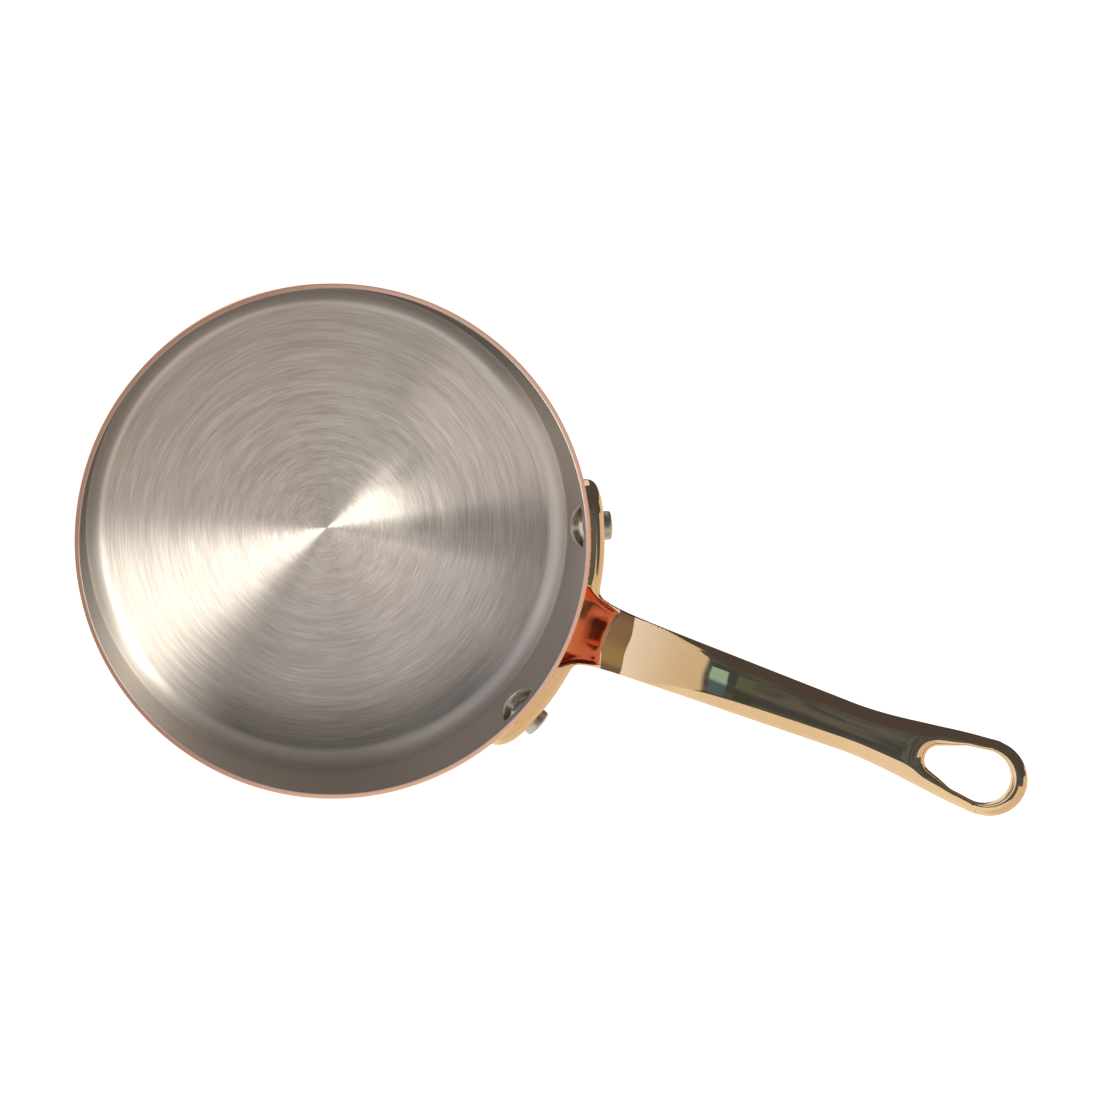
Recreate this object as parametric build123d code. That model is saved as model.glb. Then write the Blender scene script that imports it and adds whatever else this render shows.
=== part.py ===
"""Copper saucepan: drawn shell, steel lining, cast handle and the two rivets that join them.

Millimetres. The origin is on the pan's axis, at the underside of the base. +Z is up, and the
handle runs along +X.
"""
import math
import os
from build123d import *

# Pan body
INNER_DIAMETER = 160.0
WALL = 1.5
LINING = 0.25
PAN_HEIGHT = 90.0
INNER_CORNER_RADIUS = 6.0
RIM_EDGE_RADIUS = 0.35

# Rivets
RIVET_AZIMUTHS = {"rivet_left": 22.4, "rivet_right": -22.4}
RIVET_HEIGHT = 73.5
SHANK_DIAMETER = 6.0
INNER_HEAD_DIAMETER = 14.4
INNER_HEAD_DOME = 3.9
OUTER_HEAD_DIAMETER = 9.2
OUTER_HEAD_HEIGHT = 3.0
OUTER_HEAD_EDGE = 0.8

# Flange, the curved plate that the rivets hold against the wall
FLANGE_THICKNESS = 5.2
FLANGE_HALF_ANGLE = 32.8
FLANGE_BOTTOM = 62.5
FLANGE_TOP = 83.5
FLANGE_CORNER = 7.5
FLANGE_EDGE = 4.6

# Grip, seen from above: half-widths at distances from the pan's axis
NECK_ROOT_X = 82.0
NECK_ROOT_HALF = 14.6
SIDE_POINTS = [
    (85.0, 12.1), (89.0, 10.7), (94.0, 9.9), (104.0, 9.3), (125.0, 8.75), (155.0, 8.0),
    (170.0, 7.65), (185.0, 8.6), (206.0, 11.15),
]
LOOP_CENTRE_X = 216.3
LOOP_RADIUS = 11.9

# Grip, seen from the side
SHOULDER_X = 92.0
SHOULDER_Z = 85.6
SHOULDER_SLOPE = 28.0
TIP_X = LOOP_CENTRE_X + LOOP_RADIUS
TIP_Z = 129.6
TIP_SLOPE = 14.0
TIP_THICKNESS = 6.6
TOP_POINTS = [(110.0, 94.1), (140.0, 105.0), (180.0, 116.9)]
UNDER_POINTS = [(180.0, 109.0), (140.0, 96.0), (110.0, 84.4), (97.5, 76.8)]
UNDER_ROOT_Z = 65.0
UNDER_ROOT_SLOPE = 65.0
SCOOP_RADIUS = 26.5
SCOOP_SLOPE = 55.0
SCOOP_WIDTH_SHARE = 0.87
GRIP_EDGE = 3.0

# Teardrop hole for hanging: the circles that its outline is drawn round, as (x, radius)
HOLE_CIRCLES = [(200.6, 4.1), (208.5, 7.35), (214.7, 8.2)]
HOLE_EDGE = 1.3

INNER_RADIUS = INNER_DIAMETER / 2
OUTER_RADIUS = INNER_RADIUS + WALL
STEEL_RADIUS = INNER_RADIUS + LINING
FLANGE_RADIUS = OUTER_RADIUS + FLANGE_THICKNESS


def sin_deg(angle):
    """The sine of an angle in degrees."""
    return math.sin(math.radians(angle))


def direction(angle):
    """The unit vector at an angle above the horizontal, in a side view."""
    return (math.cos(math.radians(angle)), sin_deg(angle))


def save(solid, node):
    """Writes one sub-part to its own STEP file."""
    solid.label = node
    export_step(solid, f"parts/{node}.step")


def cup(radius, floor, corner, top):
    """A solid cup shape: a round block whose lower corner is rounded."""
    block = Pos(0, 0, (floor + top) / 2) * Cylinder(radius, top - floor)
    return fillet(block.edges().sort_by(Axis.Z)[0], corner)


def rivet_frame(azimuth):
    """The frame of one rivet at its height, with its X axis pointing away from the pan."""
    return Rot(0, 0, azimuth) * Pos(0, 0, RIVET_HEIGHT)


def rivet_holes(diameter):
    """Two round bars along the rivets' axes, to cut holes with."""
    bar = Pos(OUTER_RADIUS, 0, 0) * Rot(0, 90, 0) * Cylinder(diameter / 2, 4 * FLANGE_THICKNESS)
    return [rivet_frame(azimuth) * bar for azimuth in RIVET_AZIMUTHS.values()]


def copper_shell():
    """The drawn copper outside of the pan, open at the top."""
    outside = cup(OUTER_RADIUS, 0, INNER_CORNER_RADIUS + WALL, PAN_HEIGHT)
    cavity = cup(STEEL_RADIUS, WALL - LINING, INNER_CORNER_RADIUS + LINING, PAN_HEIGHT + WALL)
    shell = outside - cavity
    rim = shell.edges().filter_by(GeomType.CIRCLE).sort_by(SortBy.RADIUS)
    outer_rim = [edge for edge in rim if edge.center().Z > PAN_HEIGHT - 0.01][-1]
    return fillet(outer_rim, RIM_EDGE_RADIUS) - rivet_holes(SHANK_DIAMETER)


def steel_lining():
    """The stainless skin bonded to the inside of the copper."""
    outside = cup(STEEL_RADIUS, WALL - LINING, INNER_CORNER_RADIUS + LINING, PAN_HEIGHT)
    cavity = cup(INNER_RADIUS, WALL, INNER_CORNER_RADIUS, PAN_HEIGHT + WALL)
    return outside - cavity - rivet_holes(SHANK_DIAMETER)


def rivet(azimuth):
    """One rivet: a domed head in the pan, a shank through the wall and a low head on the flange."""
    dome_radius = ((INNER_HEAD_DIAMETER / 2) ** 2 + INNER_HEAD_DOME ** 2) / (2 * INNER_HEAD_DOME)
    dome_centre = INNER_RADIUS - INNER_HEAD_DOME + dome_radius
    bar = Pos(INNER_RADIUS, 0, 0) * Rot(0, 90, 0) * Cylinder(INNER_HEAD_DIAMETER / 2, 10)
    dome = Pos(dome_centre, 0, 0) * Sphere(dome_radius) & bar
    shank_length = WALL + FLANGE_THICKNESS + 1
    shank_middle = INNER_RADIUS + shank_length / 2 - 0.5
    shank = Pos(shank_middle, 0, 0) * Rot(0, 90, 0) * Cylinder(SHANK_DIAMETER / 2, shank_length)
    head_depth = OUTER_HEAD_HEIGHT + 1
    head_middle = FLANGE_RADIUS + OUTER_HEAD_HEIGHT - head_depth / 2
    head = Pos(head_middle, 0, 0) * Rot(0, 90, 0) * Cylinder(OUTER_HEAD_DIAMETER / 2, head_depth)
    head = fillet(head.edges().sort_by(Axis.X)[-1], OUTER_HEAD_EDGE)
    inside = Cylinder(INNER_RADIUS, 2 * PAN_HEIGHT)
    outside = Cylinder(FLANGE_RADIUS, 2 * PAN_HEIGHT)
    blank = (dome & inside) + shank + (head - outside)
    return rivet_frame(azimuth) * blank


def flange():
    """The curved plate against the pan's wall, with rounded ends and edges."""
    half_width = FLANGE_RADIUS * sin_deg(FLANGE_HALF_ANGLE)
    height = FLANGE_TOP - FLANGE_BOTTOM
    middle = (FLANGE_TOP + FLANGE_BOTTOM) / 2
    face = Plane.YZ * Pos(0, middle) * RectangleRounded(2 * half_width, height, FLANGE_CORNER)
    plate = Pos(0, 0, middle) * Cylinder(FLANGE_RADIUS, height * 2) & extrude(face, 2 * FLANGE_RADIUS)
    front = plate.faces().filter_by(GeomType.CYLINDER).sort_by(SortBy.AREA)[-1]
    return fillet(front.edges(), FLANGE_EDGE) - Cylinder(OUTER_RADIUS, 3 * PAN_HEIGHT)


def grip_side():
    """The neck and grip as seen from the side, as a sheet 2 * NECK_ROOT_HALF wide."""
    with BuildSketch(Plane.XZ) as outline:
        with BuildLine():
            shoulder = (SHOULDER_X, SHOULDER_Z)
            top = Spline(
                shoulder, *TOP_POINTS, (TIP_X, TIP_Z),
                tangents=[direction(SHOULDER_SLOPE), direction(TIP_SLOPE)],
            )
            under = Spline(
                (TIP_X, TIP_Z - TIP_THICKNESS), *UNDER_POINTS, (FLANGE_RADIUS, UNDER_ROOT_Z),
                tangents=[direction(TIP_SLOPE + 180), direction(UNDER_ROOT_SLOPE + 180)],
            )
            Line(top @ 1, under @ 0)
            Polyline(under @ 1, (INNER_RADIUS - 4, UNDER_ROOT_Z), (INNER_RADIUS - 4, SHOULDER_Z), shoulder)
        make_face()
    return extrude(outline.sketch, 2 * NECK_ROOT_HALF, both=True)


def grip_plan():
    """The neck, grip and loop as seen from above, as a block taller than the handle."""
    with BuildSketch() as outline:
        with BuildLine():
            side = Spline(
                (NECK_ROOT_X, NECK_ROOT_HALF), *SIDE_POINTS, (LOOP_CENTRE_X, LOOP_RADIUS)
            )
            end = RadiusArc(side @ 1, (TIP_X, 0), LOOP_RADIUS)
            start = Polyline(side @ 0, (INNER_RADIUS - 4, NECK_ROOT_HALF), (INNER_RADIUS - 4, 0))
            mirror(about=Plane.XZ)
        make_face()
    return extrude(outline.sketch, 2 * PAN_HEIGHT)


def is_grip_edge(edge):
    """True for the long edges along the top and underside of the grip."""
    middle = edge.center()
    return middle.X > SHOULDER_X and abs(middle.Y) > NECK_ROOT_HALF / 4 and edge.length > LOOP_RADIUS


def is_hole_edge(edge):
    """True for the edges around the teardrop hole, on the top and the underside of the loop."""
    middle = edge.center()
    near_x, near_radius = HOLE_CIRCLES[0]
    far_x, far_radius = HOLE_CIRCLES[-1]
    along_hole = near_x - near_radius - 1 < middle.X < far_x + far_radius + 1
    return along_hole and abs(middle.Y) < far_radius + 0.1 and edge.geom_type == GeomType.BSPLINE


def hang_hole():
    """The teardrop hole in the loop, as a block to cut with."""
    with BuildSketch() as outline:
        for x, radius in HOLE_CIRCLES:
            with Locations((x, 0)):
                Circle(radius)
        make_hull()
    return extrude(outline.sketch, 2 * PAN_HEIGHT)


def scoop():
    """The hollow behind the shoulder, where the neck dips between the grip and the pan."""
    steepest = direction(SCOOP_SLOPE)
    centre_x = SHOULDER_X - SCOOP_RADIUS * steepest[1]
    centre_z = SHOULDER_Z + SCOOP_RADIUS * steepest[0]
    bar = Pos(centre_x, 0, centre_z) * Rot(90, 0, 0) * Cylinder(SCOOP_RADIUS, 2 * NECK_ROOT_HALF)
    return bar & scale(grip_plan(), by=(1, SCOOP_WIDTH_SHARE, 1))


def handle():
    """The cast handle: flange, neck, grip and loop in one piece."""
    grip = grip_side() & grip_plan()
    grip = fillet([edge for edge in grip.edges() if is_grip_edge(edge)], GRIP_EDGE) - hang_hole()
    grip = fillet([edge for edge in grip.edges() if is_hole_edge(edge)], HOLE_EDGE)
    casting = (grip + flange()) - scoop() - Cylinder(OUTER_RADIUS, 3 * PAN_HEIGHT)
    return casting - rivet_holes(SHANK_DIAMETER)


os.makedirs("parts", exist_ok=True)
save(copper_shell(), "copper_shell")
save(steel_lining(), "steel_lining")
save(handle(), "handle")
for node, azimuth in RIVET_AZIMUTHS.items():
    save(rivet(azimuth), node)
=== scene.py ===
"""The looks of a copper saucepan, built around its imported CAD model.

Shapes are worked out in millimetres and scaled to metres when their mesh is made. The frame is the
CAD's: origin on the pan's axis under the base, +Z up, the handle along +X.
"""
import math

import bpy
import numpy as np
from mathutils import Matrix, Quaternion, Vector


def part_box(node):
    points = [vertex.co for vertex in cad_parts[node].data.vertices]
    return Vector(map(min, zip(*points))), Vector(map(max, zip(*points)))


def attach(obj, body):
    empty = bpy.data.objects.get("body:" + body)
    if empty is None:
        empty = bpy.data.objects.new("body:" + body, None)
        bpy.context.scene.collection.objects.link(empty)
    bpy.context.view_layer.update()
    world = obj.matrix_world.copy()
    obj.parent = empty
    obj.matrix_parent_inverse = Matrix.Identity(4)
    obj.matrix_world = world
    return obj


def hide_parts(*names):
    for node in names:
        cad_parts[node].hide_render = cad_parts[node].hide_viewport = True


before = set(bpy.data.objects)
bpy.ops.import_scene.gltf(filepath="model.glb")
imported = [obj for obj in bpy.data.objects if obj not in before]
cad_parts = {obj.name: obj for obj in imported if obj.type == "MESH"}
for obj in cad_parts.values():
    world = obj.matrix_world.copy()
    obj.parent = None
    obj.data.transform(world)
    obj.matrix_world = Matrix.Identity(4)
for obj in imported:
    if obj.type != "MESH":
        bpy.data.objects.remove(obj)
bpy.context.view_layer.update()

METRE = 0.001

# Pan body
SHELL_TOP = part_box("copper_shell")[1]
OUTER_RADIUS = round(SHELL_TOP.x / METRE, 1)
RIM_HEIGHT = round(SHELL_TOP.z / METRE, 1)
WALL = 1.5
LINING = 0.25
INNER_RADIUS = OUTER_RADIUS - WALL
STEEL_RADIUS = INNER_RADIUS + LINING
INNER_CORNER = 6.0
RIM_EDGE = 0.35
TURN_STEPS = 256

# Rivets
RIVET_AZIMUTHS = {"left": 22.4, "right": -22.4}
RIVET_HEIGHT = 73.5
SHANK_RADIUS = 3.0
INNER_HEAD_RADIUS = 7.2
INNER_HEAD_DOME = 3.9
INNER_HEAD_LIP = 0.3
OUTER_HEAD_RADIUS = 4.6
OUTER_HEAD_HEIGHT = 3.0
OUTER_HEAD_EDGE = 0.9
RIVET_STEPS = 96

# Handle: the flange
FLANGE_THICKNESS = 5.2
FLANGE_RADIUS = OUTER_RADIUS + FLANGE_THICKNESS
FLANGE_HALF_ANGLE = math.radians(32.8)
FLANGE_BOTTOM = 62.5
FLANGE_TOP = 83.5
FLANGE_CORNER = 7.5
FLANGE_EDGE = 5.15
FLANGE_EDGE_LEFT = 3.25
FLANGE_EDGE_CHANGE = (4.0, 18.0)
FLANGE_END_TAPER = 0.6
FLANGE_BLEND = 3.5

# Handle: the grip as seen from the side
SHOULDER_X = 92.0
SHOULDER_Z = 85.6
SHOULDER_SLOPE = math.tan(math.radians(28))
TIP_SLOPE = math.tan(math.radians(14))
SLOPE_LENGTH = 37.0
GRIP_START = 76.0
GRIP_THICKNESS = 9.9
THICKNESS_X = 104.0
THICKNESS_TAPER = 0.0268
ROOT_X = 85.0
ROOT_DEPTH = 4.5
ROOT_LENGTH = 4.5
CROWN = 0.9

# Handle: the grip as seen from above
NECK_X = 82.0
NECK_FLARE = 4.4
NECK_FLARE_LENGTH = 4.9
GRIP_HALF_WIDTH = 9.6
WIDTH_X = 94.0
WIDTH_TAPER = 0.0245
TIP_FLARE = 5.4
TIP_FLARE_CHANGE = (170.0, 220.0)
LOOP_X = 216.3
LOOP_RADIUS = 11.9
HOLE_CIRCLES = ((200.6, 4.1), (208.5, 7.35), (214.7, 8.2))

# Handle: how its edges are rounded
NECK_EDGE = 1.6
GRIP_EDGE = 6.2
GRIP_EDGE_X = 108.0
GRIP_EDGE_LENGTH = 14.0
LOOP_EDGE_MORE = 0.7
LOOP_EDGE_CHANGE = (180.0, 200.0)
EDGE_INSET = 1.2
UNDER_EDGE_SHARE = 0.36
HOLE_EDGE_NEAR = 9.5
HOLE_EDGE_FAR = 4.0
HOLE_EDGE_CHANGE = (196.0, 208.0)

# Handle: the hollow behind the shoulder
SCOOP_RADIUS = 26.5
SCOOP_SLOPE = math.radians(55)
SCOOP_BACK = 0.6
SCOOP_BOW = 0.018
SCOOP_SIDE = 1.0
SCOOP_EDGE = 1.1

# Handle: the grid on which its surface is found
HANDLE_LOW = (64.0, -50.0, FLANGE_BOTTOM - 6)
HANDLE_HIGH = (LOOP_X + LOOP_RADIUS + 3, 50.0, 133.0)
HANDLE_STEP = 0.6

# Lining: the azimuths, in degrees, of the sides and marks where its painted light and shade change
NEAR_SIDE = -40
LOWER_SIDE = -62
LOBE = 38
PAST_LOBE = 50
# the painted shadow streak across the floor
SHADOW_STREAK = 18

# Steel
FINE_BRUSHING = 2200.0
STEEL_DARK = (0.57, 0.52, 0.48)
STEEL_LIGHT = (0.80, 0.74, 0.685)
STEEL_ARCS = (0.50, 0.455, 0.42)
STEEL_BANDS = (0.50, 0.45, 0.41)
STEEL_CLOUDS = (0.56, 0.50, 0.45)
# Lining wall: painted light on the near side and face-on, painted shade on the far side
WALL_PAINTED_LIT = (0.35, 0.315, 0.285)
WALL_PAINTED_SHADE = (0.12, 0.107, 0.098)
WALL_FACE_ON_PAINTED_LIGHT = (0.52, 0.48, 0.44)
# Lining corner: a painted highlight ring, with painted shade on the lower and far sides
CORNER_PAINTED_HIGHLIGHT = (0.74, 0.69, 0.64)
CORNER_LOWER_PAINTED_SHADE = (0.50, 0.465, 0.43)
CORNER_FAR_PAINTED_SHADE = (0.38, 0.35, 0.325)
RIVET_DARK = (0.56, 0.52, 0.46)
RIVET_LIGHT = (0.72, 0.69, 0.63)

# Copper and bronze
COPPER_BRIGHT = (0.90, 0.43, 0.27)
COPPER_TARNISHED = (0.80, 0.34, 0.20)
# Rim: its own paler colour, and painted shade on its far side
RIM_NEAR = (0.86, 0.55, 0.42)
RIM_PAINTED_SHADE = (0.52, 0.30, 0.22)
BRONZE_BRIGHT = (0.86, 0.64, 0.40)
BRONZE_DULL = (0.80, 0.57, 0.33)
# Satin band: its own dull colour, with painted shade on its left side and at its edges
SATIN_LEFT_PAINTED_SHADE = (0.20, 0.092, 0.026)
SATIN_RIGHT = (0.29, 0.155, 0.033)
SATIN_EDGE_PAINTED_SHADE = (0.13, 0.06, 0.022)
# painted reflection of the copper wall in the hollow behind the shoulder
HOLLOW_PAINTED_REFLECTION = (0.79, 0.41, 0.33)

# The room's colours in reflections
WHITE = (1.0, 1.0, 1.0)
BLACK = (0.0, 0.0, 0.0)
FLOOR_COLOUR = (0.90, 0.90, 0.90)
FLOOR_GLOW = (0.5, 0.5, 0.5)
FLOOR_PALE_LEFT = (0.94, 0.91, 0.84)
FLOOR_PALE_RIGHT = (0.80, 0.70, 0.58)
FLOOR_BEHIND = (0.077, 0.075, 0.083)
ROOM_DARK = (0.065, 0.085, 0.108)
ROOM_DIM = (0.128, 0.145, 0.160)
ROOM_BACK = (0.0875, 0.081, 0.088)
ROOM_FRONT = (0.92, 0.88, 0.80)
ROOM_RIGHT = (0.78, 0.66, 0.53)
ROOM_LEFT_HIGH = (0.73, 0.66, 0.56)
ROOM_LEFT_LOW = (0.93, 0.98, 1.13)

# Camera: place in metres, turns about its own axes in degrees
CAMERA_PLACE = (-0.0632, 0.0624, 1.5778)
CAMERA_TURN = (3.18, -4.11, 19.72)
CAMERA_LENS = 154.3


# ---------------------------------------------------------------- mesh helpers


def add_piece(name, mesh, replaced, material):
    """Puts a finished mesh into the scene as the piece that stands for a CAD node."""
    piece = bpy.data.objects.new(name, mesh)
    bpy.context.scene.collection.objects.link(piece)
    mesh.materials.append(material)
    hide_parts(replaced)
    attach(piece, "root")
    return piece


def smooth_mesh(name, points, faces, normals=None):
    """A smooth-shaded mesh from points in mm, with its own normals where they are given."""
    mesh = bpy.data.meshes.new(name)
    mesh.from_pydata((np.asarray(points, float) * METRE).tolist(), [], [list(f) for f in faces])
    mesh.shade_smooth()
    if normals is not None:
        mesh.normals_split_custom_set_from_vertices(normals.tolist())
    return mesh


def lathe(profile, steps):
    """Points and faces of a closed (radius, height) outline turned about the Z axis."""
    rings = []
    points = []
    for radius, height in profile:
        count = 1 if radius < 1e-9 else steps
        rings.append(list(range(len(points), len(points) + count)))
        for step in range(count):
            angle = 2 * math.pi * step / steps
            points.append((radius * math.cos(angle), radius * math.sin(angle), height))
    faces = []
    for low, high in zip(rings, rings[1:] + rings[:1]):
        if len(low) == 1 and len(high) == 1:
            continue
        for step in range(steps):
            after = step + 1
            corners = [
                low[step % len(low)], low[after % len(low)],
                high[after % len(high)], high[step % len(high)],
            ]
            faces.append(list(dict.fromkeys(corners)))
    return np.array(points), faces


def arc(centre, radius, start, end, steps):
    """Points on an arc in the (radius, height) plane, angles in degrees, both ends included."""
    angles = np.radians(np.linspace(start, end, steps + 1))
    return [(centre[0] + radius * math.cos(a), centre[1] + radius * math.sin(a)) for a in angles]


def straight(start, end, steps):
    """Points along a straight stretch, without its ends."""
    shares = np.linspace(0, 1, steps + 1)[1:-1]
    return [tuple(np.array(start) + share * (np.array(end) - np.array(start))) for share in shares]


def mark_sharp(mesh, angle):
    """Keeps the edges sharper than an angle, in degrees, crisp under smooth shading."""
    mesh.set_sharp_from_angle(angle=math.radians(angle))


def net(field, low, high, step):
    """Points and four-sided faces of the surface where a field is zero, found on a grid."""
    axes = [np.arange(a, b + step, step) for a, b in zip(low, high)]
    values = field(*np.meshgrid(*axes, indexing="ij"))
    inside = values < 0
    cells = tuple(n - 1 for n in values.shape)
    total = np.zeros(cells + (3,))
    count = np.zeros(cells)
    for axis in range(3):
        for corner in np.ndindex(2, 2):
            start = list(corner)
            start.insert(axis, 0)
            end = list(start)
            end[axis] = 1
            near = tuple(slice(s, s + n) for s, n in zip(start, cells))
            far = tuple(slice(s, s + n) for s, n in zip(end, cells))
            crossed = inside[near] != inside[far]
            gap = np.where(crossed, values[near] - values[far], 1)
            share = values[near] / gap
            for a in range(3):
                place = share if a == axis else start[a]
                total[..., a] += np.where(crossed, place, 0)
            count += crossed
    used = count > 0
    number = np.full(cells, -1)
    number[used] = np.arange(used.sum())
    places = np.argwhere(used) + total[used] / count[used][:, None]
    faces = []
    for axis in range(3):
        u, v = (axis + 1) % 3, (axis + 2) % 3
        near = [slice(None)] * 3
        far = [slice(None)] * 3
        near[axis], far[axis] = slice(0, -1), slice(1, None)
        near, far = inside[tuple(near)], inside[tuple(far)]
        for crossed, turn in ((near & ~far, 1), (~near & far, -1)):
            spots = np.argwhere(crossed)
            ring = []
            for du, dv in ((0, 0), (-1, 0), (-1, -1), (0, -1)):
                cell = spots.copy()
                cell[:, u] += du
                cell[:, v] += dv
                ring.append(number[tuple(cell.T)])
            faces.append(np.stack(ring, axis=1)[:, ::turn])
    return np.array(low) + places * step, np.concatenate(faces)


def gradient(field, points, reach=0.02):
    """The direction and speed in which a field grows at each point."""
    slopes = []
    for axis in range(3):
        shift = np.zeros(3)
        shift[axis] = reach
        ahead = field(*(points + shift).T)
        behind = field(*(points - shift).T)
        slopes.append((ahead - behind) / (2 * reach))
    return np.stack(slopes, axis=1)


def settle(field, points, faces, rounds=4):
    """Evens the points out over the surface, then puts each exactly on it."""
    ends = np.concatenate([faces[:, [0, 1]], faces[:, [1, 2]], faces[:, [2, 3]], faces[:, [3, 0]]])
    ends = np.unique(np.sort(ends, axis=1), axis=0)
    degree = np.bincount(ends.ravel(), minlength=len(points))
    for _ in range(rounds):
        total = np.zeros_like(points)
        for axis in range(3):
            total[:, axis] += np.bincount(ends[:, 0], points[ends[:, 1], axis], len(points))
            total[:, axis] += np.bincount(ends[:, 1], points[ends[:, 0], axis], len(points))
        points = points + 0.5 * (total / degree[:, None] - points)
        for _ in range(2):
            slope = gradient(field, points)
            speed = np.maximum((slope ** 2).sum(1), 0.05)
            points = points - slope * (field(*points.T) / speed)[:, None]
    slope = gradient(field, points)
    return points, slope / np.linalg.norm(slope, axis=1)[:, None]


# ---------------------------------------------------------------- handle shape


def rounded(a, b, radius, power=2.0):
    """The signed field of the corner where fields a and b meet, rounded to a radius."""
    ahead = np.maximum(a + radius, 0)
    beside = np.maximum(b + radius, 0)
    inside = np.minimum(np.maximum(a + radius, b + radius), 0)
    return (ahead ** power + beside ** power) ** (1 / power) + inside - radius


def soft_max(a, b, reach):
    """The larger field, with the crease between the two eased over a reach."""
    overlap = np.maximum(reach - np.abs(a - b), 0) / reach
    return np.maximum(a, b) + overlap ** 3 * reach / 6


def soft_min(a, b, reach):
    """The smaller field, with the crease between the two filled over a reach."""
    return -soft_max(-a, -b, reach)


def ramp(x, start, end):
    """0 before the start, 1 after the end, and a smooth rise between them."""
    share = np.clip((x - start) / (end - start), 0, 1)
    return share * share * (3 - 2 * share)


def egg(x, y, start, start_radius, end, end_radius):
    """The signed field of two circles on the X axis and the straight sides that join them."""
    lean = (start_radius - end_radius) / (end - start)
    upright = math.sqrt(1 - lean * lean)
    along = x - start
    across = np.abs(y)
    station = upright * along - lean * across
    sides = upright * across + lean * along - start_radius
    near = np.hypot(along, across) - start_radius
    far = np.hypot(x - end, across) - end_radius
    return np.where(station < 0, near, np.where(station > upright * (end - start), far, sides))


def top_height(x):
    """The height of the grip's top: steep at the shoulder, easing to the tip's slope."""
    run = x - SHOULDER_X
    ease = (SHOULDER_SLOPE - TIP_SLOPE) * SLOPE_LENGTH * (1 - np.exp(-run / SLOPE_LENGTH))
    return SHOULDER_Z + TIP_SLOPE * run + ease


def grip_thickness(x):
    """The grip's height from top to underside: a taper, with the root of the neck added."""
    root = np.exp(-(np.maximum(x, ROOT_X) - FLANGE_RADIUS) / ROOT_LENGTH)
    return GRIP_THICKNESS - THICKNESS_TAPER * (x - THICKNESS_X) + ROOT_DEPTH * root


def grip_outline(x, y):
    """The signed field of the grip and loop as seen from above."""
    neck = NECK_FLARE * np.exp(-np.maximum(x - NECK_X, 0) / NECK_FLARE_LENGTH)
    tip = TIP_FLARE * ramp(x, *TIP_FLARE_CHANGE)
    half_width = GRIP_HALF_WIDTH - WIDTH_TAPER * (x - WIDTH_X) + neck + tip
    bar = np.maximum(np.abs(y) - half_width, x - LOOP_X)
    loop = np.hypot(x - LOOP_X, y) - LOOP_RADIUS
    return soft_min(bar, loop, 1.0)


def grip_field(x, y, z):
    """The signed field of neck, grip and loop, before the hollow, the hole and the flange."""
    x = np.maximum(x, GRIP_START)
    thickness = grip_thickness(x)
    slope = TIP_SLOPE + (SHOULDER_SLOPE - TIP_SLOPE) * np.exp(-(x - SHOULDER_X) / SLOPE_LENGTH)
    level = 1 / np.sqrt(1 + slope ** 2)
    crown = CROWN * (y / LOOP_RADIUS) ** 2
    outline = grip_outline(x, y)
    above = (z - top_height(x) + crown) * level
    below = (top_height(x) - crown * 0.5 - thickness - z) * level
    growth = 1 - np.exp(-np.maximum(x - GRIP_EDGE_X, 0) / GRIP_EDGE_LENGTH)
    edge = NECK_EDGE + (GRIP_EDGE - NECK_EDGE) * growth + LOOP_EDGE_MORE * ramp(x, *LOOP_EDGE_CHANGE)
    upper = soft_max(rounded(outline - EDGE_INSET, above, edge), outline, EDGE_INSET / 2)
    lower = rounded(outline, below, UNDER_EDGE_SHARE * np.minimum(thickness, 10))
    return np.maximum(upper, lower)


def flange_field(x, y, z):
    """The signed field of the curved plate, before its back is cut to the pan's wall."""
    middle_radius = (OUTER_RADIUS + FLANGE_RADIUS) / 2
    past_end = middle_radius * (np.abs(np.arctan2(y, x)) - FLANGE_HALF_ANGLE)
    half_height = (FLANGE_TOP - FLANGE_BOTTOM) / 2
    beside = np.abs(z - (FLANGE_TOP + FLANGE_BOTTOM) / 2)
    outline = rounded(FLANGE_END_TAPER * past_end, beside - half_height, FLANGE_CORNER)
    front = np.hypot(x, y) - FLANGE_RADIUS
    edge = FLANGE_EDGE + (FLANGE_EDGE_LEFT - FLANGE_EDGE) * ramp(y, *FLANGE_EDGE_CHANGE)
    return rounded(outline, front, edge)


def handle_field(x, y, z):
    """The signed field of the whole casting, in mm: negative inside the metal."""
    casting = soft_min(grip_field(x, y, z), flange_field(x, y, z), FLANGE_BLEND)
    scoop_x = SHOULDER_X - SCOOP_BACK - SCOOP_RADIUS * math.sin(SCOOP_SLOPE) + SCOOP_BOW * y ** 2
    scoop_z = SHOULDER_Z + SCOOP_RADIUS * math.cos(SCOOP_SLOPE)
    scoop = np.hypot(x - scoop_x, z - scoop_z) - SCOOP_RADIUS
    scoop = soft_max(scoop, grip_outline(x, y) + SCOOP_SIDE, 2 * SCOOP_SIDE)
    casting = soft_max(casting, -scoop, SCOOP_EDGE)
    (near, near_radius), (middle, middle_radius), (far, far_radius) = HOLE_CIRCLES
    hole = np.minimum(egg(x, y, near, near_radius, middle, middle_radius),
                      egg(x, y, middle, middle_radius, far, far_radius))
    hole_edge = HOLE_EDGE_NEAR + (HOLE_EDGE_FAR - HOLE_EDGE_NEAR) * ramp(x, *HOLE_EDGE_CHANGE)
    casting = soft_max(casting, -hole, hole_edge)
    return np.maximum(casting, OUTER_RADIUS - np.hypot(x, y))


def handle_mesh():
    """The casting as one closed surface."""
    points, faces = net(handle_field, HANDLE_LOW, HANDLE_HIGH, HANDLE_STEP)
    points, normals = settle(handle_field, points, faces)
    return smooth_mesh("handle", points, faces, normals)


# ---------------------------------------------------------------- pan body and rivets


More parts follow.
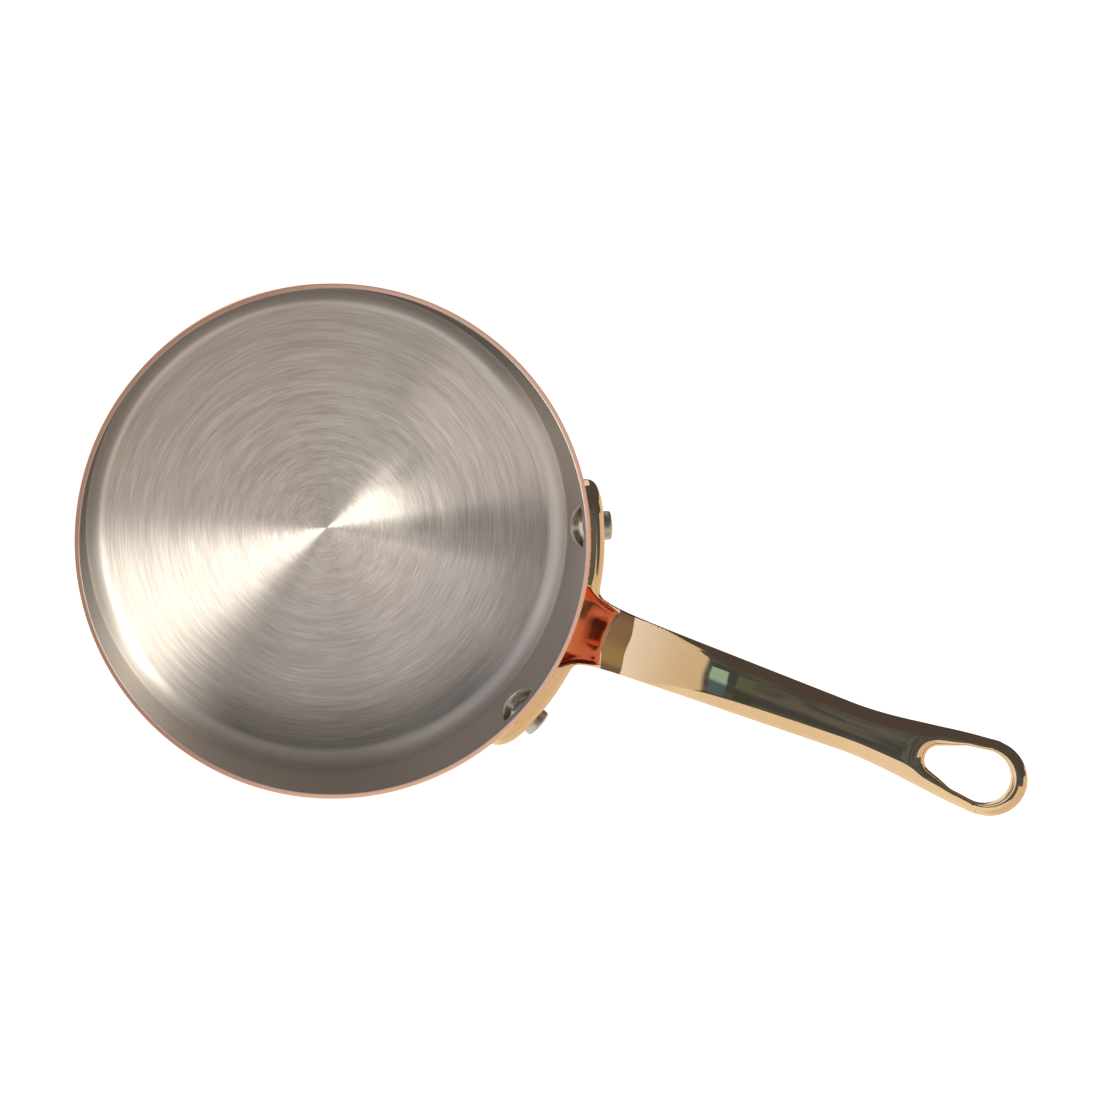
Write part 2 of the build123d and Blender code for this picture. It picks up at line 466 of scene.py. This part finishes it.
def lining_mesh():
    """The steel skin: floor, rounded corner and wall, with the face of the rim on top."""
    corner = INNER_RADIUS - INNER_CORNER
    floor = WALL
    inside = [(0, floor)]
    inside += straight((0, floor), (corner, floor), 24)
    inside += arc((corner, floor + INNER_CORNER), INNER_CORNER, -90, 0, 16)
    inside += straight(inside[-1], (INNER_RADIUS, RIM_HEIGHT), 16)
    inside += [(INNER_RADIUS, RIM_HEIGHT - 0.06), (INNER_RADIUS + 0.05, RIM_HEIGHT)]
    outside = [(STEEL_RADIUS, RIM_HEIGHT)]
    outside += straight((STEEL_RADIUS, RIM_HEIGHT), (STEEL_RADIUS, floor + INNER_CORNER), 8)
    outside += arc((corner, floor + INNER_CORNER), INNER_CORNER + LINING, 0, -90, 16)
    outside += [(0, floor - LINING)]
    points, faces = lathe(inside + outside, TURN_STEPS)
    mesh = smooth_mesh("steel_lining", points, [f[::-1] for f in faces])
    mark_sharp(mesh, 40)
    return mesh


def shell_mesh():
    """The copper outside: base, rounded corner, wall and the rounded edge of the rim."""
    corner = INNER_RADIUS - INNER_CORNER
    outer_corner = INNER_CORNER + WALL
    outside = [(0, 0)]
    outside += straight((0, 0), (corner, 0), 12)
    outside += arc((corner, outer_corner), outer_corner, -90, 0, 20)
    outside += straight(outside[-1], (OUTER_RADIUS, RIM_HEIGHT - RIM_EDGE), 16)
    rim_centre = (OUTER_RADIUS - RIM_EDGE, RIM_HEIGHT - RIM_EDGE)
    outside += arc(rim_centre, RIM_EDGE, 0, 90, 5)
    inside = [(STEEL_RADIUS, RIM_HEIGHT)]
    inside += straight((STEEL_RADIUS, RIM_HEIGHT), (STEEL_RADIUS, outer_corner), 8)
    inside += arc((corner, outer_corner), INNER_CORNER + LINING, 0, -90, 16)
    inside += [(0, WALL - LINING)]
    points, faces = lathe(outside + inside, TURN_STEPS)
    mesh = smooth_mesh("copper_shell", points, faces)
    mark_sharp(mesh, 40)
    return mesh


def rivet_mesh(name, azimuth):
    """A set rivet: domed head inside the pan, shank through the wall, low round head outside."""
    dome_radius = (INNER_HEAD_RADIUS ** 2 + INNER_HEAD_DOME ** 2) / (2 * INNER_HEAD_DOME)
    dome_centre = INNER_HEAD_DOME - dome_radius
    rise = math.degrees(math.asin((INNER_HEAD_RADIUS - 0.25) / dome_radius))
    profile = arc((0, dome_centre), dome_radius, 90, 90 - rise, 24)
    profile[0] = (0, INNER_HEAD_DOME)
    lip = profile[-1][1]
    profile += arc((INNER_HEAD_RADIUS - INNER_HEAD_LIP, lip - 0.25), INNER_HEAD_LIP, 60, 0, 4)
    profile += [(INNER_HEAD_RADIUS, -0.2), (SHANK_RADIUS, -0.3)]
    seat = -(WALL + FLANGE_THICKNESS)
    profile += [(SHANK_RADIUS, seat + 0.4), (OUTER_HEAD_RADIUS, seat + 0.15)]
    edge_centre = (OUTER_HEAD_RADIUS - OUTER_HEAD_EDGE, seat - OUTER_HEAD_HEIGHT + OUTER_HEAD_EDGE + 0.35)
    profile += arc(edge_centre, OUTER_HEAD_EDGE, 0, -70, 8)
    profile += [(2.0, seat - OUTER_HEAD_HEIGHT + 0.06), (0, seat - OUTER_HEAD_HEIGHT)]
    points, faces = lathe(profile, RIVET_STEPS)
    out = np.stack([INNER_RADIUS - points[:, 2], points[:, 0], points[:, 1]], axis=1)
    turn = math.radians(azimuth)
    placed = np.stack([
        out[:, 0] * math.cos(turn) - out[:, 1] * math.sin(turn),
        out[:, 0] * math.sin(turn) + out[:, 1] * math.cos(turn),
        out[:, 2] + RIVET_HEIGHT,
    ], axis=1)
    mesh = smooth_mesh(name, placed, faces)
    mark_sharp(mesh, 35)
    return mesh


# ---------------------------------------------------------------- materials


class Nodes:
    """A short way to write node materials: each call adds one node and links its inputs."""

    def __init__(self, tree):
        self.tree = tree

    def add(self, kind, inputs=None, **settings):
        """A node of any kind, with its settings made and its inputs given or linked."""
        node = self.tree.nodes.new(kind)
        for key, value in settings.items():
            setattr(node, key, value)
        for key, value in (inputs or {}).items():
            if isinstance(value, bpy.types.NodeSocket):
                self.tree.links.new(value, node.inputs[key])
            else:
                node.inputs[key].default_value = value
        return node

    def math(self, operation, a, b=0.0):
        """The result of one sum."""
        return self.add("ShaderNodeMath", {0: a, 1: b}, operation=operation).outputs[0]

    def product(self, first, *others):
        """All the values multiplied together."""
        for other in others:
            first = self.math("MULTIPLY", first, other)
        return first

    def vector(self, operation, a, b=(0.0, 0.0, 0.0)):
        """The outputs of one sum on vectors: a vector, then a number."""
        return self.add("ShaderNodeVectorMath", {0: a, 1: b}, operation=operation).outputs

    def noise(self, vector, scale, detail=3.0, roughness=0.55):
        """Soft random patches."""
        inputs = {"Vector": vector, "Scale": scale, "Detail": detail, "Roughness": roughness}
        return self.add("ShaderNodeTexNoise", inputs).outputs[0]

    def spread(self, value, low, high, to_low, to_high):
        """One value below low, another above high, and a smooth change between them."""
        inputs = {0: value, 1: low, 2: high, 3: to_low, 4: to_high}
        return self.add("ShaderNodeMapRange", inputs, interpolation_type="SMOOTHSTEP").outputs[0]

    def rise(self, value, low, high, top=1.0):
        """0 below low and the top value above high."""
        return self.spread(value, low, high, 0.0, top)

    def fall(self, value, low, high):
        """1 below low and 0 above high."""
        return self.spread(value, low, high, 1.0, 0.0)

    def mix(self, share, a, b):
        """Colour a at a share of 0, colour b at 1."""
        node = self.add("ShaderNodeMix", {0: share}, data_type="RGBA")
        for index, value in ((6, a), (7, b)):
            if isinstance(value, bpy.types.NodeSocket):
                self.tree.links.new(value, node.inputs[index])
            else:
                node.inputs[index].default_value = (*value, 1)
        return node.outputs[2]

    def split(self, vector):
        """The x, y and z of a vector."""
        return self.add("ShaderNodeSeparateXYZ", {0: vector}).outputs

    def join(self, x, y, z):
        """A vector from its x, y and z."""
        return self.add("ShaderNodeCombineXYZ", {0: x, 1: y, 2: z}).outputs[0]


def new_material(name):
    """An empty node material: its helper, its shader and the point being shaded."""
    material = bpy.data.materials.new(name)
    material.use_nodes = True
    nodes = Nodes(material.node_tree)
    shader = material.node_tree.nodes["Principled BSDF"]
    where = nodes.add("ShaderNodeTexCoord").outputs["Object"]
    return material, nodes, shader, where


def set_inputs(nodes, shader, **values):
    """Sets or links a shader's inputs by name, with _ for a space."""
    for key, value in values.items():
        socket = shader.inputs[key.replace("_", " ")]
        if isinstance(value, bpy.types.NodeSocket):
            nodes.tree.links.new(value, socket)
        elif isinstance(value, tuple) and len(value) == 3:
            socket.default_value = (*value, 1)
        else:
            socket.default_value = value


def turned(nodes, where, across, around):
    """A place for turning marks: radius and height count fully, the way round hardly at all."""
    x, y, height = nodes.split(where)
    radius = nodes.vector("LENGTH", nodes.join(x, y, 0.0))[1]
    angle = nodes.math("ARCTAN2", y, x)
    spin_x = nodes.product(nodes.math("COSINE", angle), around)
    spin_y = nodes.product(nodes.math("SINE", angle), around)
    depth = nodes.product(nodes.math("SUBTRACT", radius, height), across)
    return nodes.join(spin_x, spin_y, depth), radius, height


def bearing(nodes, where, azimuth):
    """How far a point lies towards an azimuth: 1 on that side of the pan, -1 on the other."""
    flat = nodes.vector("MULTIPLY", where, (1.0, 1.0, 0.0))[0]
    out = nodes.vector("NORMALIZE", flat)[0]
    towards = (math.cos(math.radians(azimuth)), math.sin(math.radians(azimuth)), 0.0)
    return nodes.vector("DOT_PRODUCT", out, towards)[1]


def floor_painted_light(nodes, where, radius, near, lower_side):
    """The painted light and shade on the lining's floor at each place, standing in for the uneven light
    of a real room.
    """
    # painted light on the near side
    lit = nodes.rise(near, 0.40, 0.75, 0.30)
    # painted light past the end of the highlight lobe
    past_lobe_painted_light = nodes.product(nodes.rise(bearing(nodes, where, PAST_LOBE), 0.85, 0.97),
                              nodes.rise(radius, 0.038, 0.050, 0.32))
    # painted shade in a ring inside the wall
    painted_shade_ring = nodes.product(nodes.rise(near, 0.25, 0.60), nodes.rise(radius, 0.050, 0.0745),
                              nodes.spread(lower_side, 0.6, 0.9, 0.36, 0.60))
    # painted shade that cuts the highlight lobe short
    lobe_painted_shade = nodes.product(nodes.rise(bearing(nodes, where, LOBE), 0.90, 0.96),
                               nodes.rise(radius, 0.018, 0.031, 0.33),
                               nodes.fall(radius, 0.033, 0.042))
    # a painted shadow streak across the floor
    painted_shadow_streak = nodes.product(nodes.rise(bearing(nodes, where, SHADOW_STREAK), 0.975, 0.999),
                                nodes.spread(radius, 0.004, 0.040, 0.14, 0.27),
                                nodes.fall(radius, 0.050, 0.076))
    light = nodes.math("ADD", nodes.math("ADD", lit, past_lobe_painted_light), 1.0)
    for cut in (painted_shade_ring, lobe_painted_shade, painted_shadow_streak):
        light = nodes.product(light, nodes.math("SUBTRACT", 1.0, cut))
    return light


def wall_painted_shading(nodes, near):
    """The lining's wall in painted light and shade: dark where it is seen at a slant, darkest on the far
    side.
    """
    tone = nodes.mix(nodes.rise(near, -0.40, 0.15), WALL_PAINTED_SHADE, WALL_PAINTED_LIT)
    slant = nodes.add("ShaderNodeLayerWeight", {"Blend": 0.5}).outputs["Facing"]
    return nodes.mix(nodes.rise(slant, 0.55, 0.80), WALL_FACE_ON_PAINTED_LIGHT, tone)


def corner_painted_light(nodes, radius, near, lower_side):
    """The round between floor and wall: a painted highlight ring, darker towards the wall on the far side
    by painted shade.
    """
    tone = nodes.mix(nodes.rise(lower_side, 0.4, 0.85), CORNER_PAINTED_HIGHLIGHT, CORNER_LOWER_PAINTED_SHADE)
    far = nodes.product(nodes.fall(near, -0.25, 0.15), nodes.rise(radius, 0.0748, 0.0768))
    return nodes.mix(far, tone, CORNER_FAR_PAINTED_SHADE)


def brushed_steel():
    """Stainless with fine circular brushing, seen as rings on the floor and lines round the wall, with
    painted light and shade on the floor, the corner and the wall.
    """
    material, nodes, shader, where = new_material("brushed_steel")
    fine, radius, height = turned(nodes, where, FINE_BRUSHING, 4.0)
    middling, _, _ = turned(nodes, where, 950.0, 3.0)
    broad, _, _ = turned(nodes, where, 420.0, 1.4)
    rings, _, _ = turned(nodes, where, FINE_BRUSHING, 0.0)
    hair = nodes.noise(fine, 1.0, 3.0, 0.7)
    arcs = nodes.noise(middling, 1.0, 2.0, 0.6)
    band = nodes.noise(broad, 1.0, 3.0, 0.6)
    ring = nodes.noise(rings, 1.0, 3.0, 0.6)
    cloud = nodes.noise(where, 14.0, 3.0, 0.5)
    tone = nodes.mix(nodes.rise(hair, 0.3, 0.7), STEEL_DARK, STEEL_LIGHT)
    tone = nodes.mix(nodes.rise(arcs, 0.45, 0.75, 0.3), tone, STEEL_ARCS)
    tone = nodes.mix(nodes.rise(band, 0.35, 0.7, 0.2), tone, STEEL_BANDS)
    tone = nodes.mix(nodes.rise(cloud, 0.4, 0.7, 0.2), tone, STEEL_CLOUDS)
    near = bearing(nodes, where, NEAR_SIDE)
    lower_side = bearing(nodes, where, LOWER_SIDE)
    light = floor_painted_light(nodes, where, radius, near, lower_side)
    # the steel's colour scaled by the painted light and shade
    tone = nodes.add("ShaderNodeVectorMath", {0: tone, "Scale": light}, operation="SCALE").outputs[0]
    wall = nodes.rise(height, 0.003, 0.014)
    corner = nodes.math("SUBTRACT", nodes.rise(radius, 0.0735, 0.0755), wall)
    corner = nodes.math("MAXIMUM", corner, 0.0)
    # the wall's colour carries painted light and shade
    tone = nodes.mix(wall, tone, wall_painted_shading(nodes, near))
    # the corner's colour is a painted highlight ring with painted shade
    tone = nodes.mix(corner, tone, corner_painted_light(nodes, radius, near, lower_side))
    rough = nodes.spread(band, 0.3, 0.7, 0.34, 0.40)
    bump = nodes.add("ShaderNodeBump", {"Strength": 0.2, "Distance": 0.00003, "Height": ring})
    tangent = nodes.add("ShaderNodeTangent", direction_type="RADIAL", axis="Z").outputs[0]
    set_inputs(nodes, shader, Base_Color=tone, Metallic=1.0, Roughness=rough, Anisotropic=1.0,
               Anisotropic_Rotation=0.25, Tangent=tangent, Normal=bump.outputs[0])
    return material


def copper():
    """Polished copper with faint turning lines and a little tarnish, and painted shade on the rim's far
    side.
    """
    material, nodes, shader, where = new_material("copper")
    lines, _, height = turned(nodes, where, 1400.0, 1.2)
    hair = nodes.noise(lines, 1.0, 3.0, 0.6)
    cloud = nodes.noise(where, 22.0, 4.0, 0.55)
    tone = nodes.mix(nodes.rise(cloud, 0.35, 0.7), COPPER_BRIGHT, COPPER_TARNISHED)
    rim = nodes.rise(height, 0.0894, 0.0896)
    # the rim darker on its far side: painted shade
    rim_tone_painted_shade = nodes.mix(nodes.rise(bearing(nodes, where, 10), -0.6, 0.2), RIM_PAINTED_SHADE, RIM_NEAR)
    tone = nodes.mix(rim, tone, rim_tone_painted_shade)
    rough = nodes.math("ADD", nodes.spread(hair, 0.3, 0.7, 0.13, 0.24), nodes.product(rim, 0.38))
    bump = nodes.add("ShaderNodeBump", {"Strength": 0.12, "Distance": 0.00005, "Height": hair})
    tangent = nodes.add("ShaderNodeTangent", direction_type="RADIAL", axis="Z").outputs[0]
    set_inputs(nodes, shader, Base_Color=tone, Metallic=1.0, Roughness=rough, Anisotropic=0.4,
               Anisotropic_Rotation=0.25, Tangent=tangent, Normal=bump.outputs[0])
    return material


def bronze():
    """Mirror-polished cast bronze, satin where the polishing wheel can't reach the shoulder, with painted
    shade on the satin band's left side and edges and a painted reflection of the copper in the hollow.
    """
    material, nodes, shader, where = new_material("bronze")
    x, y, _ = nodes.split(where)
    facing_x, _, facing_z = nodes.split(nodes.add("ShaderNodeNewGeometry").outputs["Normal"])
    cloud = nodes.noise(where, 35.0, 3.0, 0.5)
    wave = nodes.noise(where, 90.0, 1.0, 0.4)
    grain = nodes.noise(where, 2600.0, 2.0, 0.6)
    tone = nodes.mix(nodes.rise(cloud, 0.35, 0.7), BRONZE_BRIGHT, BRONZE_DULL)

    wander = nodes.product(nodes.math("SUBTRACT", wave, 0.5), 0.002)
    reach = nodes.math("SUBTRACT", nodes.math("ADD", x, wander), nodes.product(y, -0.06))
    shoulder = nodes.math("SUBTRACT", x, nodes.product(y, y, 18.0))
    band = nodes.product(nodes.fall(reach, 0.0990, 0.0992), nodes.rise(shoulder, 0.0918, 0.0921),
                         nodes.rise(facing_z, 0.1, 0.3))
    # painted shade: the satin band darker on its left side and at its edges
    satin = nodes.mix(nodes.rise(y, -0.004, 0.002), SATIN_RIGHT, SATIN_LEFT_PAINTED_SHADE)
    side = nodes.rise(nodes.math("ABSOLUTE", y), 0.0066, 0.0086)
    satin = nodes.mix(side, satin, SATIN_EDGE_PAINTED_SHADE)
    tone = nodes.mix(nodes.product(band, 0.92), tone, satin)

    # painted reflection: the hollow coloured as if it mirrored the copper wall
    hollow = nodes.product(nodes.fall(facing_x, -0.62, -0.40), nodes.fall(shoulder, 0.0908, 0.0914))
    tone = nodes.mix(hollow, tone, HOLLOW_PAINTED_REFLECTION)
    rough = nodes.math("ADD", nodes.spread(grain, 0.3, 0.7, 0.008, 0.028), nodes.product(band, 0.2))
    bump = nodes.add("ShaderNodeBump", {"Strength": 0.08, "Distance": 0.0004, "Height": wave})
    set_inputs(nodes, shader, Base_Color=tone, Metallic=1.0, Roughness=rough, Normal=bump.outputs[0])
    return material


def rivet_steel():
    """Polished stainless with hammer-soft unevenness and fine scratches."""
    material, nodes, shader, where = new_material("rivet_steel")
    scratch = nodes.noise(where, 1800.0, 3.0, 0.7)
    dent = nodes.noise(where, 260.0, 2.0, 0.5)
    tone = nodes.mix(scratch, RIVET_DARK, RIVET_LIGHT)
    x, y, _ = nodes.split(where)
    radius = nodes.vector("LENGTH", nodes.join(x, y, 0.0))[1]
    outer = nodes.rise(radius, 0.084, 0.085, 0.24)
    rough = nodes.math("ADD", nodes.spread(scratch, 0.3, 0.7, 0.14, 0.22), outer)
    bump = nodes.add("ShaderNodeBump", {"Strength": 0.12, "Distance": 0.0003, "Height": dent})
    set_inputs(nodes, shader, Base_Color=tone, Metallic=1.0, Roughness=rough, Normal=bump.outputs[0])
    return material


steel_material = brushed_steel()
rivet_material = rivet_steel()
add_piece("pan_lining", lining_mesh(), "steel_lining", steel_material)
add_piece("pan_shell", shell_mesh(), "copper_shell", copper())
add_piece("cast_handle", handle_mesh(), "handle", bronze())
for hand, azimuth in RIVET_AZIMUTHS.items():
    node = "rivet_" + hand
    add_piece("rivet_head_" + hand, rivet_mesh(node, azimuth), node, rivet_material)


# ---------------------------------------------------------------- stage, light and camera


def direction(azimuth, elevation):
    """The unit vector that points at an azimuth (from +X towards +Y) and an elevation, in degrees."""
    a, e = math.radians(azimuth), math.radians(elevation)
    return Vector((math.cos(a) * math.cos(e), math.sin(a) * math.cos(e), math.sin(e)))


def soft_box(name, azimuth, elevation, distance, width, depth, power, colour, roll=0.0):
    """An area light that faces the pan, rolled about its own axis and out of the camera's sight."""
    light = bpy.data.lights.new(name, "AREA")
    light.shape = "RECTANGLE"
    light.size, light.size_y = width, depth
    light.energy = power
    light.color = colour
    lamp = bpy.data.objects.new(name, light)
    bpy.context.scene.collection.objects.link(lamp)
    towards = direction(azimuth, elevation)
    lamp.location = Vector((0, 0, 0.05)) + towards * distance
    lamp.rotation_mode = "QUATERNION"
    spin = Quaternion((0, 0, 1), math.radians(roll))
    lamp.rotation_quaternion = towards.to_track_quat("Z", "Y") @ spin
    lamp.visible_camera = False
    return lamp


def studio_floor():
    """A plain pale floor that runs far past the picture."""
    half = 6.0
    mesh = bpy.data.meshes.new("floor")
    corners = [(-half, -half, 0), (half, -half, 0), (half, half, 0), (-half, half, 0)]
    mesh.from_pydata(corners, [], [(0, 1, 2, 3)])
    floor = bpy.data.objects.new("floor", mesh)
    floor.location.z = -0.0002
    bpy.context.scene.collection.objects.link(floor)
    material, nodes, shader, _ = new_material("floor")
    reflected = nodes.add("ShaderNodeLightPath").outputs["Is Glossy Ray"]
    came_x, came_y, _ = nodes.split(nodes.add("ShaderNodeNewGeometry").outputs["Incoming"])
    across = nodes.math("MAXIMUM", nodes.product(came_x, -0.84), nodes.product(came_x, 3.0))
    behind = nodes.math("SUBTRACT", nodes.product(came_y, -1.0), across)
    pale = nodes.mix(nodes.fall(came_x, -0.5, -0.1), FLOOR_PALE_LEFT, FLOOR_PALE_RIGHT)
    seen = nodes.mix(nodes.rise(behind, 0.0, 0.08), pale, FLOOR_BEHIND)
    glow = nodes.mix(reflected, FLOOR_GLOW, seen)
    tone = nodes.mix(reflected, FLOOR_COLOUR, BLACK)
    set_inputs(nodes, shader, Base_Color=tone, Roughness=0.8, Specular_IOR_Level=0.1,
               Emission_Color=glow, Emission_Strength=1.0)
    mesh.materials.append(material)


def room_zones(nodes, x, y, z):
    """Where the front, right and left of the room are, as shares for each direction."""
    front = nodes.fall(nodes.math("ADD", y, nodes.product(z, 0.42)), -0.01, 0.0)
    right = nodes.product(
        nodes.rise(nodes.math("SUBTRACT", x, nodes.product(z, 0.3)), 0.0, 0.01),
        nodes.fall(nodes.math("SUBTRACT", y, nodes.product(x, 0.1)), 0.0, 0.06),
    )
    low_right = nodes.math("SUBTRACT", nodes.product(x, 0.6), nodes.math("MAXIMUM", y, z))
    right = nodes.math("MAXIMUM", right, nodes.rise(low_right, 0.0, 0.08))
    left = nodes.product(
        nodes.fall(nodes.math("ADD", x, nodes.product(z, 0.65)), -0.01, 0.0),
        nodes.fall(nodes.math("ADD", y, nodes.product(x, 1.6)), -0.02, 0.02),
        nodes.rise(y, -0.40, -0.30),
        nodes.rise(z, 0.44, 0.52),
    )
    return front, right, left


def window_panes(nodes, tone, along, beside):
    """Adds the two panes of a window, each with a bright upper and a dark lower view."""
    panes = (
        (-0.642, -0.600, (0.10, 0.17, 0.28), (0.34, 0.62, 0.68)),
        (-0.577, -0.540, (0.06, 0.08, 0.08), (0.12, 0.16, 0.13)),
    )
    frame_edge = 0.002
    inside = nodes.product(nodes.rise(beside, -0.185, -0.175), nodes.fall(beside, 0.04, 0.05))
    for start, end, low_view, high_view in panes:
        pane = nodes.product(nodes.rise(along, start - frame_edge, start + frame_edge),
                             nodes.fall(along, end - frame_edge, end + frame_edge))
        view = nodes.mix(nodes.rise(beside, -0.09, -0.05), low_view, high_view)
        tone = nodes.mix(nodes.product(pane, inside), tone, view)
    return tone


def studio_room():
    """The room round the pan: white to the camera, and light and dark sides in reflections."""
    world = bpy.data.worlds.new("studio")
    bpy.context.scene.world = world
    world.use_nodes = True
    nodes = Nodes(world.node_tree)
    background = world.node_tree.nodes["Background"]
    ray = nodes.add("ShaderNodeLightPath").outputs
    direction_out = nodes.add("ShaderNodeTexCoord").outputs["Generated"]
    x, y, z = nodes.split(direction_out)
    high = nodes.math("MAXIMUM", z, 0.2)
    along = nodes.math("DIVIDE", x, high)
    beside = nodes.math("DIVIDE", y, high)
    patches = nodes.noise(direction_out, 13.0, 2.0, 0.5)
    tone = nodes.mix(nodes.rise(patches, 0.4, 0.6), ROOM_DARK, ROOM_DIM)
    tone = nodes.mix(nodes.rise(y, 0.22, 0.55), tone, ROOM_BACK)
    front, right, left = room_zones(nodes, x, y, z)
    tone = nodes.mix(front, tone, ROOM_FRONT)
    tone = nodes.mix(right, tone, ROOM_RIGHT)
    lowness = nodes.product(along, -1.0)
    cream = nodes.mix(nodes.rise(lowness, 0.66, 1.02), ROOM_LEFT_HIGH, ROOM_LEFT_LOW)
    tone = nodes.mix(left, tone, cream)
    tone = window_panes(nodes, tone, along, beside)
    plain = nodes.math("MAXIMUM", ray["Is Camera Ray"], ray["Is Diffuse Ray"])
    tone = nodes.mix(plain, tone, WHITE)
    world.node_tree.links.new(tone, background.inputs["Color"])
    background.inputs["Strength"].default_value = 1.0


def photo_camera():
    """A long lens high above the pan, a little behind and beside its centre, rolled to the handle."""
    camera_data = bpy.data.cameras.new("camera")
    camera_data.sensor_width = 36.0
    camera_data.lens = CAMERA_LENS
    camera_data.clip_start, camera_data.clip_end = 0.05, 50
    camera = bpy.data.objects.new("camera", camera_data)
    bpy.context.scene.collection.objects.link(camera)
    tilt_x, tilt_y, roll = (math.radians(a) for a in CAMERA_TURN)
    turn = Matrix.Rotation(tilt_x, 3, "X") @ Matrix.Rotation(tilt_y, 3, "Y")
    turn = turn @ Matrix.Rotation(roll, 3, "Z")
    rows = turn @ Matrix(((1, 0, 0), (0, -1, 0), (0, 0, -1)))
    right, down, ahead = rows
    axes = Matrix((right, -down, -ahead)).transposed()
    camera.matrix_world = Matrix.Translation(Vector(CAMERA_PLACE)) @ axes.to_4x4()
    bpy.context.scene.camera = camera


key_light = soft_box(
    "key_light", azimuth=38.5, elevation=59.5, distance=1.3, width=0.50, depth=0.20,
    power=7, colour=(1.0, 0.97, 0.88), roll=-22,
)
fill_light = soft_box(
    "fill_light", azimuth=0, elevation=90, distance=1.6, width=3.0, depth=3.0,
    power=15, colour=(1.0, 0.95, 0.92),
)
for light, names in ((key_light, ["pan_lining"]), (fill_light, ["pan_lining", "pan_shell"])):
    lit = bpy.data.collections.new("lit by " + light.name)
    for name in names:
        lit.objects.link(bpy.data.objects[name])
    light.light_linking.receiver_collection = lit
studio_floor()
studio_room()
photo_camera()
bpy.context.scene.view_settings.view_transform = "Standard"
